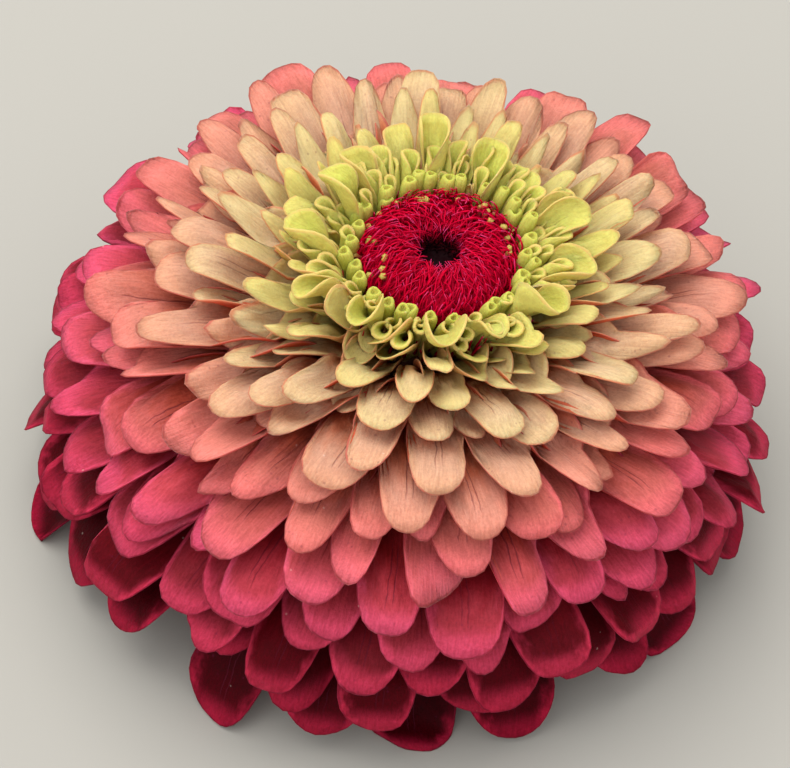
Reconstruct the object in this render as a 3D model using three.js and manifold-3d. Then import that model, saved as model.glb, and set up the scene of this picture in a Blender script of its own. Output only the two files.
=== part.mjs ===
// A double zinnia flower head, picked with a short stub of its stem, resting face up on its lowest petals.
// Millimetres, +Z up. The origin lies on the resting surface, under the middle of the head.
// Every floret grows from a low cone, the receptacle, in the golden-angle spiral of a real head. Florets are
// counted from the outermost and lowest, age 0, to the innermost, age 1, and grow in bands of one colour.
// Each band is one solid: its florets and the slice of receptacle that they are rooted in.

import * as THREE from "three";
import { mergeVertices } from "three/addons/utils/BufferGeometryUtils.js";
import Module from "manifold-3d";

const wasm = await Module();
wasm.setup();

// Driving dimensions of the head.
const HEAD_RADIUS = 35;
const HEAD_HEIGHT = 35;
const RECEPTACLE_RADIUS = 11.5;
const BLADE_THICKNESS = 0.62;
const ROOT_DEPTH = 1.6;
const TOP_LEAN = { x: 3.4, y: -0.6 }; // how far the top of the head stands to one side of its foot
const FOOT = { x: -0.07, y: 0.94 }; // where the flower's axis meets the resting surface
const FULLER = { share: 0.025, azimuth: 225 }; // petals reach this much further on one side of the head

// How many florets the head carries, and the golden angle from each one to the next.
const BLADE_COUNT = 190;
const TUBE_COUNT = 28;
const GOLDEN_ANGLE = THREE.MathUtils.degToRad(137.50776);

// Shape of a petal by age. Tip radius and height are shares of the head's, root radius is a share of the
// receptacle's, angles are above the horizontal where the petal leaves its root and where it ends, and
// width and roll, the angle in radians that the petal curls through from edge to edge, are at its widest.
const SHAPE = ["age", "rootR", "rootZ", "leave", "tipR", "tipZ", "arrive", "width", "roll"];
const STATIONS = [
  [0.0, 1.0, 13.5, -8, 0.93, -0.15, -40, 8.8, 0.45],
  [0.06, 1.0, 14.1, -4, 0.97, 0.09, -72, 8.7, 0.55],
  [0.14, 1.0, 14.9, 2, 0.995, 0.211, -76, 8.4, 0.6],
  [0.27, 0.98, 16.3, 14, 0.99, 0.394, -68, 7.7, 0.7],
  [0.42, 0.94, 18.1, 24, 0.943, 0.594, -54, 7.1, 0.8],
  [0.56, 0.89, 20.1, 36, 0.849, 0.76, -42, 6.5, 0.9],
  [0.7, 0.83, 22.4, 46, 0.706, 0.886, -28, 5.8, 1.0],
  [0.82, 0.77, 24.5, 56, 0.557, 0.96, -12, 4.9, 1.3],
  [0.92, 0.73, 26.2, 64, 0.423, 0.986, 8, 4.0, 1.8],
  [1.0, 0.7, 27.5, 72, 0.335, 0.986, 35, 3.2, 2.2],
].map((row) => Object.fromEntries(row.map((value, i) => [SHAPE[i], value])));

// Stations along a blade: shares of its length from the root, inside the receptacle, to the tip, each with
// the width there as a share of the widest.
const LONG_BLADE = [
  { share: 0.0, width: 0.3 },
  { share: 0.44, width: 0.68 },
  { share: 0.78, width: 1.0 },
  { share: 1.0, width: 0.42 },
];
const SHORT_BLADE = [
  { share: 0.0, width: 0.3 },
  { share: 0.64, width: 0.95 },
  { share: 1.0, width: 0.5 },
];

// Bands of one colour, from the outside in. Between one band and the next the florets skip some ages,
// counted in florets, and step up the receptacle.
const BANDS = [
  { name: "ray_petals_crimson", from: 0, to: 72, rows: LONG_BLADE, colour: 0xa01c38 },
  { name: "ray_petals_coral", from: 72, to: 112, rows: SHORT_BLADE, colour: 0xcf5552 },
  { name: "ray_petals_peach", from: 112, to: 152, rows: SHORT_BLADE, colour: 0xdba274 },
  { name: "ray_petals_lime", from: 152, to: BLADE_COUNT, rows: SHORT_BLADE, colour: 0xc3c25a },
];
const BAND_SKIP = 5;
const BAND_STEP = 0.4;
const CLEARANCE = 0.15;
const JOIN_TOLERANCE = 0.02;

// Young petals beside the disc, still rolled into slim clubs: stations along one, with the radius there.
const TUBE_ROWS = [
  { share: 0, radius: 0.45 },
  { share: 0.85, radius: 1.0 },
  { share: 1, radius: 0.75 },
];

// Stem stub, green cup of bracts, rim of the receptacle and red disc, from the bottom up.
const STEM = { radius: 2.3, flare: 3.0, bottom: 1.0, top: 4.2, ribs: 9 };
const CUP = { neck: 3.2, radius: 11.4, bottom: 4.5, top: 12.3 };
const BRACT = { rows: 3, perRow: 10, cover: 0.9, length: 3.8, thickness: 0.8 };
const RIM = { radius: 8.6, height: 30.0 };
const DISC = { radius: 7.7, bottom: 30.3, crest: 34.2, crestRadius: 4.4, pitRadius: 1.8, pitFloor: 31.6 };
const CHAFF = { count: 64, radius: 0.38, length: 2.9 };

const radians = THREE.MathUtils.degToRad;
const mix = THREE.MathUtils.lerp;
const range = (from, to) => Array.from({ length: to - from }, (_, i) => from + i);

// A repeatable number from 0 to 1 for a floret and a purpose: the fraction of a large multiple of a sine.
function chance(index, purpose) {
  return Math.abs(Math.sin(index * 12.9898 + purpose * 78.233) * 43758.5453) % 1;
}

// A floret's age, when it stands in a band that has so many bands outside it.
function ageOf(index, step) {
  return (index + BAND_SKIP * step) / (BLADE_COUNT - 1 + BAND_SKIP * (BANDS.length - 1));
}

// A station value at an age, straight between the stations on either side.
function atAge(name, age) {
  const next = Math.max(1, STATIONS.findIndex((station) => station.age >= age));
  const [low, high] = [STATIONS[next - 1], STATIONS[next]];
  return THREE.MathUtils.mapLinear(age, low.age, high.age, low[name], high[name]);
}

// Moves a point of an upright head to its place in the leaning one. The lean grows faster than the height.
function lean(point) {
  const share = (Math.max(point.z, 0) / HEAD_HEIGHT) ** 1.5;
  point.x += FOOT.x + TOP_LEAN.x * share;
  point.y += FOOT.y + TOP_LEAN.y * share;
  return point;
}

// Joins sections of equal point counts into one closed skin, capped with strips across its two ends. Quads
// on the far half of the ring are split the other way, so both faces of a blade are cut alike.
function loft(sections) {
  const ring = sections[0].length;
  const index = [];
  const face = (a, b, c) => {
    if (a !== b && b !== c && c !== a) index.push(a, b, c);
  };
  for (const row of range(0, sections.length - 1)) {
    for (const i of range(0, ring)) {
      const [a, b] = [row * ring + i, row * ring + ((i + 1) % ring)];
      const [c, d] = [a + ring, b + ring];
      if (i < ring / 2) {
        face(a, b, d);
        face(a, d, c);
      } else {
        face(a, b, c);
        face(b, d, c);
      }
    }
  }
  const last = (sections.length - 1) * ring;
  for (let a = 0; a + 1 < ring / 2; a++) {
    const [b, c, d] = [a + 1, ring - 1 - a, ring - 2 - a];
    face(a, c, d);
    face(a, d, b);
    face(last + a, last + d, last + c);
    face(last + a, last + b, last + d);
  }
  const geometry = new THREE.BufferGeometry();
  const positions = sections.flat().flatMap((point) => point.toArray());
  geometry.setAttribute("position", new THREE.Float32BufferAttribute(positions, 3));
  geometry.setIndex(index);
  return geometry;
}

function toSolid(geometry) {
  const bare = geometry.clone();
  bare.deleteAttribute("normal");
  bare.deleteAttribute("uv");
  const merged = mergeVertices(bare, 1e-4);
  return new wasm.Manifold(
    new wasm.Mesh({
      numProp: 3,
      vertProperties: merged.attributes.position.array,
      triVerts: new Uint32Array(merged.index.array),
    }),
  );
}

function fuse(solids) {
  return solids.reduce((whole, solid) => whole.add(solid));
}

// Finishes a joined solid: slivers finer than the join's tolerance are closed up, and of its separate bodies
// the largest is kept, without any scrap that a cut has left loose.
function finished(solid) {
  const bodies = solid.asOriginal().simplify(JOIN_TOLERANCE).decompose();
  return bodies.reduce((best, body) => (body.volume() > best.volume() ? body : best));
}

function toMesh(name, solid, colour, roughness) {
  const { vertProperties, triVerts } = solid.getMesh();
  const geometry = new THREE.BufferGeometry();
  geometry.setAttribute("position", new THREE.BufferAttribute(vertProperties, 3));
  geometry.setIndex(new THREE.BufferAttribute(triVerts, 1));
  geometry.computeVertexNormals();
  const material = new THREE.MeshStandardMaterial({ color: colour, roughness, metalness: 0 });
  const mesh = new THREE.Mesh(geometry, material);
  mesh.name = name;
  return mesh;
}

// Turns a lathe profile of [radius, height] pairs, from the bottom of the axis to its top, into a solid that
// leans with the head.
function turned(profile, sides, shape = (point) => point) {
  const points = profile.map(([radius, height]) => new THREE.Vector2(radius, height));
  const geometry = new THREE.LatheGeometry(points, sides);
  geometry.rotateX(Math.PI / 2);
  return toSolid(bend(geometry, (point) => lean(shape(point))));
}

function bend(geometry, shape) {
  const position = geometry.attributes.position;
  const point = new THREE.Vector3();
  for (const i of range(0, position.count)) {
    shape(point.fromBufferAttribute(position, i));
    position.setXYZ(i, point.x, point.y, point.z);
  }
  return geometry;
}

const meridian = (radius, height) => new THREE.Vector2(radius, height);

function heading(length, degrees) {
  return meridian(length * Math.cos(radians(degrees)), length * Math.sin(radians(degrees)));
}

// The centre line of a floret in the upright plane through the flower's axis: a Bezier curve from a point
// inside the receptacle, with the reach of its two handles as shares of the straight distance.
function centreLine(surface, leave, tip, arrive) {
  const root = surface.clone().sub(heading(ROOT_DEPTH, leave));
  const span = root.distanceTo(tip);
  return new THREE.CubicBezierCurve(
    root,
    root.clone().add(heading(0.42 * span, leave)),
    tip.clone().sub(heading(0.38 * span, arrive)),
    tip,
  );
}

// Puts a point given along a floret's centre line, sideways of it and above it, into the leaning head.
// Nothing reaches below the lowest height given: the tips that would are pressed flat there.
function place(line, share, sideways, above, azimuth, lowest) {
  const on = line.getPoint(share);
  const along = line.getTangent(share);
  const point = new THREE.Vector3(on.x - above * along.y, sideways, on.y + above * along.x);
  point.applyAxisAngle(new THREE.Vector3(0, 0, 1), azimuth);
  point.z = Math.max(point.z, lowest);
  return lean(point);
}

// Where a floret leaves the receptacle's surface.
function surfaceAt(age, step) {
  return meridian(atAge("rootR", age) * RECEPTACLE_RADIUS, atAge("rootZ", age) + BAND_STEP * step);
}

// One petal: a thin blade, narrow at the root and broad near its blunt tip, curled up at its long edges.
// Grown by a clearance on every side, it is the space that a petal of the next band out has to keep free.
function petal(index, step, rows, clearance = 0) {
  const age = ageOf(index, step);
  const azimuth = index * GOLDEN_ANGLE + radians(5) * (chance(index, 1) - 0.5);
  const reach = 1 + FULLER.share * Math.cos(azimuth - radians(FULLER.azimuth));
  const tip = meridian(
    atAge("tipR", age) * HEAD_RADIUS * reach + 1.6 * (chance(index, 2) - 0.5),
    atAge("tipZ", age) * HEAD_HEIGHT + 1.4 * (chance(index, 3) - 0.5) * Math.min(1, 12 * age),
  );
  const arrive = atAge("arrive", age) + 12 * (chance(index, 4) - 0.5);
  const line = centreLine(surfaceAt(age, step), atAge("leave", age), tip, arrive);
  const width = atAge("width", age) * (0.88 + 0.24 * chance(index, 5)) + 2 * clearance;
  const roll = atAge("roll", age) * (0.6 + 0.8 * chance(index, 6));
  const twist = radians(22) * (chance(index, 7) - 0.5);
  const sway = 2.2 * (chance(index, 8) - 0.5);
  const half = BLADE_THICKNESS / 2 + clearance;
  const corner = (row, edge, lift) => {
    const curl = roll * (1.15 - 0.85 * row.share ** 1.5);
    const bow = (width * row.width) / curl;
    const across = bow * Math.sin((edge * curl) / 2);
    const above = bow * (Math.cos(curl / 4) - Math.cos((edge * curl) / 2)) + lift;
    const turn = twist * row.share ** 2;
    const sideways = across * Math.cos(turn) - above * Math.sin(turn) + sway * row.share ** 2;
    const raised = across * Math.sin(turn) + above * Math.cos(turn);
    return place(line, row.share, sideways, raised, azimuth, lift > 0 ? 2 * half : 0);
  };
  const section = (row) => [
    ...[1, 0, -1].map((edge) => corner(row, edge, half)),
    ...[-1, 0, 1].map((edge) => corner(row, edge, -half)),
  ];
  return toSolid(loft(rows.map(section)));
}

// One young petal beside the disc, still rolled up: a slim five-sided club.
function tube(index) {
  const inward = index / (TUBE_COUNT - 1);
  const count = BLADE_COUNT + index;
  const azimuth = count * GOLDEN_ANGLE + radians(6) * (chance(count, 1) - 0.5);
  const tip = meridian(
    mix(11.0, 9.3, inward) + 0.5 * (chance(count, 2) - 0.5),
    mix(34.4, 33.6, inward) + chance(count, 3) - 0.5,
  );
  const line = centreLine(meridian(mix(8.8, 8.5, inward), 29.8), 76, tip, mix(60, 80, inward));
  const size = mix(0.85, 0.7, inward) * (0.9 + 0.2 * chance(count, 5));
  const section = (row) =>
    range(0, 5).map((side) => {
      const angle = side * ((2 * Math.PI) / 5);
      const radius = row.radius * size;
      return place(line, row.share, radius * Math.cos(angle), radius * Math.sin(angle), azimuth, 0);
    });
  return toSolid(loft(TUBE_ROWS.map(section)));
}

// The slice of receptacle that carries one band. Its faces slope as the florets at its edges leave it, so
// neighbouring slices nest like shallow cones.
function slice(band, step) {
  const edge = (index) => {
    const age = ageOf(index, step);
    const surface = surfaceAt(age, step);
    const inner = surface.clone().sub(heading(ROOT_DEPTH, atAge("leave", age)));
    return [surface.toArray(), inner.toArray()];
  };
  const [bottom, bottomInner] = edge(band.from);
  const [top, topInner] = edge(band.to - 1);
  const foot = CUP.top + 0.3;
  const under = step === 0 ? [[0, foot], [bottom[0], foot]] : [[0, bottomInner[1]], bottomInner, bottom];
  const nested = [top, topInner, [0, topInner[1]]];
  const rimmed = [top, [RIM.radius, RIM.height], [0, RIM.height]];
  return turned([...under, ...(band.to < BLADE_COUNT ? nested : rimmed)], 14);
}

function bandSolid(band, step) {
  const florets = range(band.from, band.to).map((index) => petal(index, step, band.rows));
  const tubes = band.to === BLADE_COUNT ? range(0, TUBE_COUNT).map(tube) : [];
  const whole = fuse([slice(band, step), ...florets, ...tubes]);
  const inner = BANDS[step + 1];
  if (!inner) return finished(whole);
  const kept = range(inner.from, Math.min(inner.to, inner.from + 40));
  return finished(whole.subtract(fuse(kept.map((index) => petal(index, step + 1, inner.rows, CLEARANCE)))));
}

// The stub of stem, ribbed and flaring into the cup.
function stem() {
  const profile = [
    [0, STEM.bottom],
    [STEM.radius, STEM.bottom],
    [STEM.radius, mix(STEM.bottom, STEM.top, 0.45)],
    [STEM.flare, STEM.top],
    [0, STEM.top],
  ];
  const rib = (point) => {
    const swell = 1 + 0.03 * Math.cos(STEM.ribs * Math.atan2(point.y, point.x));
    return point.multiply(new THREE.Vector3(swell, swell, 1));
  };
  return turned(profile, 2 * STEM.ribs, rib);
}

// The outline of the cup's wall from its neck to its brim, as a curve of (radius, height).
function cupWall() {
  return new THREE.CubicBezierCurve(
    meridian(CUP.neck, CUP.bottom),
    meridian(mix(CUP.neck, CUP.radius, 0.75), CUP.bottom + 0.4),
    meridian(CUP.radius, mix(CUP.bottom, CUP.top, 0.45)),
    meridian(CUP.radius, CUP.top),
  );
}

// One bract: a blunt green scale that lies on the cup's wall with its tip standing off it.
function bract(row, number) {
  const wall = cupWall();
  const share = mix(0.3, 0.94, row / (BRACT.rows - 1));
  const azimuth = ((number + (row % 2) / 2) / BRACT.perRow) * 2 * Math.PI;
  const rows = [
    { back: 1.0, width: 0.8, off: -0.5 },
    { back: 0.4, width: 1.0, off: 0.1 },
    { back: 0.0, width: 0.5, off: 0.35 },
  ];
  const section = (at) => {
    const span = BRACT.length / wall.getLength();
    const on = wall.getPointAt(Math.max(0, share - at.back * span));
    const along = wall.getTangentAt(Math.max(0, share - at.back * span));
    const corner = (side, lift) => {
      const off = at.off + lift;
      const radius = on.x + off * along.y;
      const half = (0.5 * at.width * BRACT.cover * 2 * Math.PI * radius) / BRACT.perRow;
      const point = new THREE.Vector3(radius, side * half, on.y - off * along.x);
      return lean(point.applyAxisAngle(new THREE.Vector3(0, 0, 1), azimuth));
    };
    return [corner(-1, BRACT.thickness), corner(1, BRACT.thickness), corner(1, 0), corner(-1, 0)];
  };
  return toSolid(loft(rows.map(section)));
}

function involucre() {
  const wall = cupWall().getPoints(3).map((point) => point.toArray());
  const cup = turned([[0, CUP.bottom], ...wall, [0, CUP.top]], 14);
  const scales = range(0, BRACT.rows).flatMap((row) => range(0, BRACT.perRow).map((i) => bract(row, i)));
  return finished(fuse([cup, ...scales]));
}

// The outline of the disc's mound from its brim over the crest into the pit, as a curve of (radius, height).
function mound() {
  return new THREE.CatmullRomCurve3([
    new THREE.Vector3(DISC.radius, mix(DISC.bottom, DISC.crest, 0.35), 0),
    new THREE.Vector3(mix(DISC.crestRadius, DISC.radius, 0.6), mix(DISC.bottom, DISC.crest, 0.88), 0),
    new THREE.Vector3(DISC.crestRadius, DISC.crest, 0),
    new THREE.Vector3(mix(DISC.pitRadius, DISC.crestRadius, 0.4), mix(DISC.pitFloor, DISC.crest, 0.85), 0),
    new THREE.Vector3(DISC.pitRadius, mix(DISC.pitFloor, DISC.crest, 0.3), 0),
  ]);
}

// One scale of the disc's chaff: a three-sided spine that rises from the mound and curves in to the pit.
function spine(index) {
  const share = (index + 0.5) / CHAFF.count;
  const azimuth = index * GOLDEN_ANGLE;
  const curve = mound();
  const on = curve.getPoint(mix(0.05, 0.8, share));
  const inward = curve.getTangent(mix(0.05, 0.8, share));
  const out = new THREE.Vector3(inward.y, -inward.x, 0);
  const length = CHAFF.length * (0.8 + 0.4 * chance(index, 11));
  const at = (up, along) => {
    return on.clone().addScaledVector(out, up * length).addScaledVector(inward, along * length);
  };
  const path = new THREE.QuadraticBezierCurve3(at(-0.15, 0), at(0.45, 0.2), at(0.4, 0.9));
  const rows = [
    { share: 0, radius: 1.0 },
    { share: 0.55, radius: 0.8 },
    { share: 1, radius: 0.25 },
  ];
  const section = (row) => {
    const centre = path.getPoint(row.share);
    const along = path.getTangent(row.share);
    return range(0, 3).map((side) => {
      const angle = side * ((2 * Math.PI) / 3) + Math.PI / 2;
      const up = row.radius * CHAFF.radius * Math.sin(angle);
      const sideways = row.radius * CHAFF.radius * Math.cos(angle);
      const point = new THREE.Vector3(centre.x - up * along.y, sideways, centre.y + up * along.x);
      return lean(point.applyAxisAngle(new THREE.Vector3(0, 0, 1), azimuth));
    });
  };
  return toSolid(loft(rows.map(section)));
}

function disc() {
  const skin = mound().getPoints(5).map((point) => [point.x, point.y]);
  const core = turned([[0, DISC.bottom], [DISC.radius, DISC.bottom], ...skin, [0, DISC.pitFloor]], 12);
  return finished(fuse([core, ...range(0, CHAFF.count).map(spine)]));
}

const flower = new THREE.Group();
flower.name = "zinnia_flower";
flower.add(toMesh("stem_stub", stem(), 0x7f9a4e, 0.6));
flower.add(toMesh("involucre", involucre(), 0x5d7d3a, 0.6));
BANDS.forEach((band, step) => flower.add(toMesh(band.name, bandSolid(band, step), band.colour, 0.55)));
flower.add(toMesh("disc", disc(), 0x9a0f2c, 0.7));

export default flower;
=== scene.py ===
"""A double zinnia flower head in fine detail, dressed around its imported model.

Sizes are in millimetres inside the shape functions, and in metres once they are in a mesh.
"""
import math

import bpy
import numpy as np
from bpy.props import FloatProperty, FloatVectorProperty, IntProperty, PointerProperty
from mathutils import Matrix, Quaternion, Vector


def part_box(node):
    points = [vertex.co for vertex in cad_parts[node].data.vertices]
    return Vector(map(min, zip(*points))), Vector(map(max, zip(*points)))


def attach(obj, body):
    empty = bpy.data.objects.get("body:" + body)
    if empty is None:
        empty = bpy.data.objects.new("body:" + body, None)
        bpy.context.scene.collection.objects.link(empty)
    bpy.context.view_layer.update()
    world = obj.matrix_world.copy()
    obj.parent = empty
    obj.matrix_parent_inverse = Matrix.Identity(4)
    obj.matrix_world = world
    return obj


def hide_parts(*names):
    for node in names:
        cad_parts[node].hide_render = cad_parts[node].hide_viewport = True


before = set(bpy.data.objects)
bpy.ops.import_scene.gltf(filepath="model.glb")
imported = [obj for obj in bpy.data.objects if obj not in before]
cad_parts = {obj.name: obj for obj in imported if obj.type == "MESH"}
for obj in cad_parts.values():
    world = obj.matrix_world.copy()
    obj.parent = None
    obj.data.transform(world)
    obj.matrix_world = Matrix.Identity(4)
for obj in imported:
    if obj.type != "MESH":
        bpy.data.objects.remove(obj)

bl_info = {
    "name": "Zinnia flower",
    "version": (1, 0, 0),
    "blender": (4, 5, 0),
    "location": "View3D > Sidebar > Zinnia",
    "description": "Grows a double zinnia flower head petal by petal and sets it on a plain stage",
    "category": "Add Mesh",
}

MM = 0.001
GOLDEN_ANGLE = math.radians(137.50776)
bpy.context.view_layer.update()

# Shape of a petal by age, from the outermost and lowest, 0, to the innermost, 1. Tip radius and height are
# shares of the head's, root radius is a share of the receptacle's, and angles are above the horizontal
# where the petal leaves its root and where it ends. Root height and width are in millimetres, and throat
# and mouth are the angles in radians that the petal curls through from edge to edge at its root and tip.
SHAPE = ("age", "root_r", "root_z", "leave", "tip_r", "tip_z", "arrive", "width", "throat", "mouth")
STATIONS = dict(zip(SHAPE, np.array([
    (0.00, 1.00, 13.5, -8, 0.970, -0.150, -40, 10.2, 0.7, 0.35),
    (0.06, 1.00, 14.1, -4, 1.000, 0.090, -72, 10.0, 0.8, 0.45),
    (0.14, 1.00, 14.9, 2, 1.010, 0.211, -80, 9.6, 0.8, 0.60),
    (0.27, 0.98, 16.3, 14, 0.995, 0.394, -76, 9.4, 0.9, 0.80),
    (0.42, 0.94, 18.3, 24, 0.943, 0.594, -67, 9.0, 1.0, 0.90),
    (0.56, 0.89, 20.6, 36, 0.849, 0.760, -57, 8.2, 1.2, 1.05),
    (0.70, 0.83, 23.2, 46, 0.711, 0.890, -45, 7.1, 1.4, 1.15),
    (0.82, 0.78, 25.6, 55, 0.572, 0.966, -33, 5.6, 1.9, 1.30),
    (0.92, 0.75, 27.4, 62, 0.452, 0.987, -24, 4.8, 3.0, 1.50),
    (1.00, 0.73, 28.7, 68, 0.385, 0.990, -4, 4.2, 5.4, 2.60),
]).T))

# The petals' four colour bands: name of the piece, its material slot, the node that it stands for, and the
# ages that it runs between.
BANDS = (
    ("petals_crimson", "petal_crimson", "ray_petals_crimson", 0.0, 0.363),
    ("petals_coral", "petal_coral", "ray_petals_coral", 0.363, 0.583),
    ("petals_peach", "petal_peach", "ray_petals_peach", 0.583, 0.804),
    ("petals_lime", "petal_lime", "ray_petals_lime", 0.804, 1.0),
)

# How deep a petal's root goes in under the receptacle's surface, and how far in from a petal's margin its
# lip starts to rise, both in millimetres.
ROOT_DEPTH = 1.6
LIP_REACH = 1.7


class ZinniaSizes(bpy.types.PropertyGroup):
    """Sizes and counts that the whole flower is worked out from."""

    head_radius: FloatProperty(
        name="Head radius", description="Reach of the longest petals from the flower's axis",
        default=0.035, unit="LENGTH")
    head_height: FloatProperty(
        name="Head height", description="Height of the highest petal tips above the resting surface",
        default=0.035, unit="LENGTH")
    receptacle_radius: FloatProperty(
        name="Receptacle radius", description="Radius of the cone that the petals grow from, at its foot",
        default=0.0115, unit="LENGTH")
    petal_thickness: FloatProperty(
        name="Petal thickness", description="Thickness of a petal along its middle",
        default=0.00034, unit="LENGTH")
    petal_count: IntProperty(
        name="Petals", description="Number of open ray petals", default=368)
    tube_count: IntProperty(
        name="Rolled petals", description="Number of young petals still rolled up round the disc",
        default=66)
    bud_count: IntProperty(
        name="Petal buds", description="Number of closed petal buds between the rolled petals and the disc",
        default=34)
    chaff_count: IntProperty(
        name="Chaff threads", description="Number of fine threads on the disc", default=1300)
    top_lean: FloatVectorProperty(
        name="Lean", description="How far the top of the head stands to one side of its foot",
        size=2, default=(0.0034, -0.0006), unit="LENGTH")
    foot: FloatVectorProperty(
        name="Foot", description="Where the flower's axis meets the resting surface",
        size=2, default=(-0.00007, 0.00094), unit="LENGTH")


def colour_property(name, description, value):
    """A colour property whose default is given as a six-digit screen colour."""
    channels = [int(value[i:i + 2], 16) / 255 for i in (0, 2, 4)]
    linear = [c / 12.92 if c <= 0.04045 else ((c + 0.055) / 1.055) ** 2.4 for c in channels]
    return FloatVectorProperty(name=name, description=description, subtype="COLOR", size=3, default=linear)


class ZinniaColours(bpy.types.PropertyGroup):
    """Colours of the petals' middles and tips by age, and of the other parts."""

    # The wine and crimson middles are the lowest petals' own deep red, darkened further with painted shade,
    # as those petals lie low under the head.
    wine: colour_property("Wine", "Middle of the lowest petals", "420009")
    wine_margin: colour_property("Wine margin", "Margins of the lowest petals", "a01434")
    crimson: colour_property("Crimson", "Middle of the crimson petals", "54040f")
    crimson_margin: colour_property("Crimson margin", "Margins of the crimson petals", "d63656")
    coral: colour_property("Coral", "Middle of the coral petals", "b63c4a")
    coral_margin: colour_property("Coral margin", "Margins of the coral petals", "ea587c")
    salmon: colour_property("Salmon", "Middle of the salmon petals", "c66a60")
    salmon_margin: colour_property("Salmon margin", "Margins of the salmon petals", "ea7474")
    peach: colour_property("Peach", "Middle of the peach petals", "c6927a")
    peach_margin: colour_property("Peach margin", "Margins of the peach petals", "dc9a7c")
    cream: colour_property("Cream", "Middle of the cream petals", "caac88")
    cream_margin: colour_property("Cream margin", "Margins of the cream petals", "d2b886")
    lime: colour_property("Lime", "Middle of the innermost petals", "bcb468")
    lime_margin: colour_property("Lime margin", "Margins of the innermost petals", "d0c46c")
    bud: colour_property("Bud", "Rolled petals and buds round the disc", "bcc44c")
    bud_margin: colour_property("Bud margin", "Lips of the rolled petals", "c8c862")
    # Throat colours: partly the petals' own darker bases and partly painted shade of the crevices under the
    # younger petals that cover them.
    wine_throat_shade: colour_property("Wine throat", "Lowest petals towards their roots", "340006")
    crimson_throat_shade: colour_property("Crimson throat", "Coral petals towards their roots", "860e1a")
    peach_throat_shade: colour_property("Peach throat", "Peach petals towards their roots", "c4643e")
    lime_throat_shade: colour_property("Lime throat", "Innermost petals towards their roots", "b68e50")
    terracotta: colour_property("Terracotta", "Undersides of the coral and peach petals", "d45434")
    chaff: colour_property("Chaff", "Threads of the disc", "d00030")
    # Chaff tip: partly the threads' own pinker ends and partly painted highlight.
    chaff_tip_and_highlight: colour_property("Chaff tip", "Ends of the disc's threads", "d8407c")
    # Pit: near-black painted shade of the disc's hollow.
    pit: colour_property("Pit", "Depth of the disc's pit", "180004")
    bract: colour_property("Bract", "Green cup of bracts", "5f8038")
    margin: colour_property("Bract margin", "Dark margin of the bracts", "2c2416")
    stem: colour_property("Stem", "Stub of the stem", "7d9c4a")
    pith: colour_property("Pith", "Cut end of the stem", "c6d09a")
    floor: colour_property("Floor", "Plain floor", "a09d95")


def sizes():
    return bpy.context.scene.zinnia_sizes


def colours():
    return bpy.context.scene.zinnia_colours


def chance(index, purpose):
    """A repeatable number from 0 to 1: the fraction of |sin(12.9898 index + 78.233 purpose)| 43758.5453.

    Each thing that is drawn by chance has a purpose number of its own, which says nothing else.
    """
    return np.modf(np.abs(np.sin(index * 12.9898 + purpose * 78.233) * 43758.5453))[0]


def at_age(name, age):
    """A station value at an age, straight between the stations on either side."""
    return np.interp(age, STATIONS["age"], STATIONS[name])


def smooth(value, low, high):
    """0 below low, 1 above high, and 3t^2 - 2t^3 between them."""
    t = np.clip((value - low) / (high - low), 0, 1)
    return t * t * (3 - 2 * t)


def around(count):
    """Angles evenly spaced round a ring, from 0."""
    return np.linspace(0, 2 * np.pi, count, endpoint=False)


def attributes_over(like, **values):
    """Named values, each spread over the points of an array and laid out one after the other."""
    return {name: np.broadcast_to(value, like.shape).ravel() for name, value in values.items()}


def lean(points):
    """Moves an upright head's points by foot + lean (z / height)^1.5, to where the leaning head has them."""
    size = sizes()
    share = (np.maximum(points[..., 2], 0) / (size.head_height / MM)) ** 1.5
    moved = points.copy()
    for axis in (0, 1):
        moved[..., axis] += (size.foot[axis] + size.top_lean[axis] * share) / MM
    return moved


def spin(radius, sideways, height, azimuth):
    """Turns (radius, sideways, height) about the flower's axis to an azimuth, as x, y and z."""
    x = radius * np.cos(azimuth) - sideways * np.sin(azimuth)
    y = radius * np.sin(azimuth) + sideways * np.cos(azimuth)
    return np.stack([x, y, np.broadcast_to(height, x.shape)], -1)


def bezier(handles, share):
    """A cubic Bezier curve through handles (n, 4, 2) at shares (n, ...), and its unit direction there."""
    t = share[..., None]
    p = [handles[:, k].reshape(-1, *([1] * (share.ndim - 1)), 2) for k in range(4)]
    point = (1 - t) ** 3 * p[0] + 3 * (1 - t) ** 2 * t * p[1] + 3 * (1 - t) * t ** 2 * p[2] + t ** 3 * p[3]
    slope = (1 - t) ** 2 * (p[1] - p[0]) + 2 * (1 - t) * t * (p[2] - p[1]) + t ** 2 * (p[3] - p[2])
    return point, slope / np.linalg.norm(slope, axis=-1, keepdims=True)


def centre_handles(root, leave, tip, arrive):
    """Handles of a floret's centre line: 0.42 and 0.38 of the straight distance along its end angles."""
    span = np.linalg.norm(tip - root, axis=-1, keepdims=True)
    heading = lambda angle: np.stack([np.cos(angle), np.sin(angle)], -1)
    return np.stack([root, root + 0.42 * span * heading(leave), tip - 0.38 * span * heading(arrive), tip], 1)


def add_mesh(name, part, material, nodes=()):
    """Makes a smooth-shaded piece of a part, rides it on the root and hides the imported parts that it
    stands for.

    A part is its points in millimetres, its triangles and its attributes, point by point.
    """
    points, faces, attributes = part
    mesh = bpy.data.meshes.new(name)
    mesh.from_pydata((points.reshape(-1, 3) * MM).tolist(), [], faces.tolist())
    for key, values in attributes.items():
        mesh.attributes.new(key, "FLOAT", "POINT").data.foreach_set("value", values.astype(np.float32))
    mesh.polygons.foreach_set("use_smooth", np.ones(len(faces), dtype=bool))
    mesh.materials.append(material)
    piece = bpy.data.objects.new(name, mesh)
    bpy.context.scene.collection.objects.link(piece)
    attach(piece, "root")
    if nodes:
        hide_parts(*nodes)


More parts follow.
